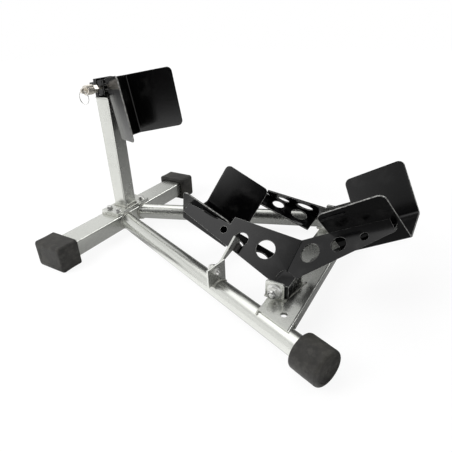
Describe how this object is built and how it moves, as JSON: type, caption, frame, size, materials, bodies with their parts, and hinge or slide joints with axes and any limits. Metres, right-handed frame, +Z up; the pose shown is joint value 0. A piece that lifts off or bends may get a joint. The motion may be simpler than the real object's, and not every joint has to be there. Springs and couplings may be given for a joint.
{
  "type": "motorcycle wheel stand",
  "caption": "Floor stand that holds a motorcycle wheel upright, with a post and sliding wheel stop, and a tipping cradle with drilled arms between splayed legs on rubber feet.",
  "frame": {"origin": "centre of the bounding box in plan, on the floor", "axes": "+X along the stand from the crossbar and post to the round feet, +Y to the far side, +Z up"},
  "size_m": [0.7541, 0.5894, 0.403],
  "materials": {
    "silver_paint": "gloss",
    "black_paint": "gloss",
    "zinc": "satin",
    "yellow_zinc": "satin",
    "rubber": "matt"
  },
  "bodies": {
    "frame": {"bar_cap_far": "rubber", "bar_cap_near": "rubber", "cross_plate": "silver_paint", "crossbar": "silver_paint", "ear_far_inner": "silver_paint", "ear_far_outer": "silver_paint", "ear_near_inner": "silver_paint", "ear_near_outer": "silver_paint", "flange_bolts": "zinc", "flange_lower": "silver_paint", "flange_upper": "silver_paint", "foot_far": "rubber", "foot_near": "rubber", "head_frame": "black_paint", "leg_far": "silver_paint", "leg_near": "silver_paint", "lock_barrel": "yellow_zinc", "pivot_bolt_far": "zinc", "pivot_bolt_near": "zinc", "pivot_nut_far": "zinc", "pivot_nut_near": "zinc", "post": "silver_paint", "post_lid": "silver_paint", "slide_guide": "black_paint", "strap_bolt": "zinc", "strap_bracket": "silver_paint", "strap_nut": "zinc"},
    "cradle": {"front_floor_far": "black_paint", "front_floor_near": "black_paint", "front_saddle": "black_paint", "front_web_far": "black_paint", "front_web_near": "black_paint", "pivot_tube_far": "black_paint", "pivot_tube_near": "black_paint", "rear_floor_far": "black_paint", "rear_floor_near": "black_paint", "rear_saddle": "black_paint", "rear_web_far": "black_paint", "rear_web_near": "black_paint"},
    "stop": {"slide_bar": "black_paint", "wheel_stop": "black_paint"},
    "lock_pin": {"lock_pin": "yellow_zinc"},
    "pull_ring": {"pull_ring": "zinc"},
    "strap": {"strap": "silver_paint", "strap_pad": "rubber"}
  },
  "joints": [
    {"name": "cradle_tip", "type": "hinge", "parent": "frame", "child": "cradle", "pos_m": [0.1869, 0, 0.071], "axis": [0, 1, 0], "range_deg": [-15, 0]},
    {"name": "stop_slide", "type": "slide", "parent": "frame", "child": "stop", "axis": [1, 0, 0], "range_m": [-0.02, 0.03]},
    {"name": "pin_pull", "type": "slide", "parent": "frame", "child": "lock_pin", "axis": [0, -1, 0], "range_m": [0, 0.01], "stiffness_N_per_m": 1500},
    {"name": "ring_swing", "type": "hinge", "parent": "lock_pin", "child": "pull_ring", "pos_m": [-0.3371, -0.066, 0.3645], "axis": [1, 0, 0], "range_deg": [-60, 60]},
    {"name": "strap_swing", "type": "hinge", "parent": "frame", "child": "strap", "pos_m": [0.06354, -0.17802, 0.0785], "axis": [0.9361, -0.3518, 0], "range_deg": [0, 95]}
  ]
}
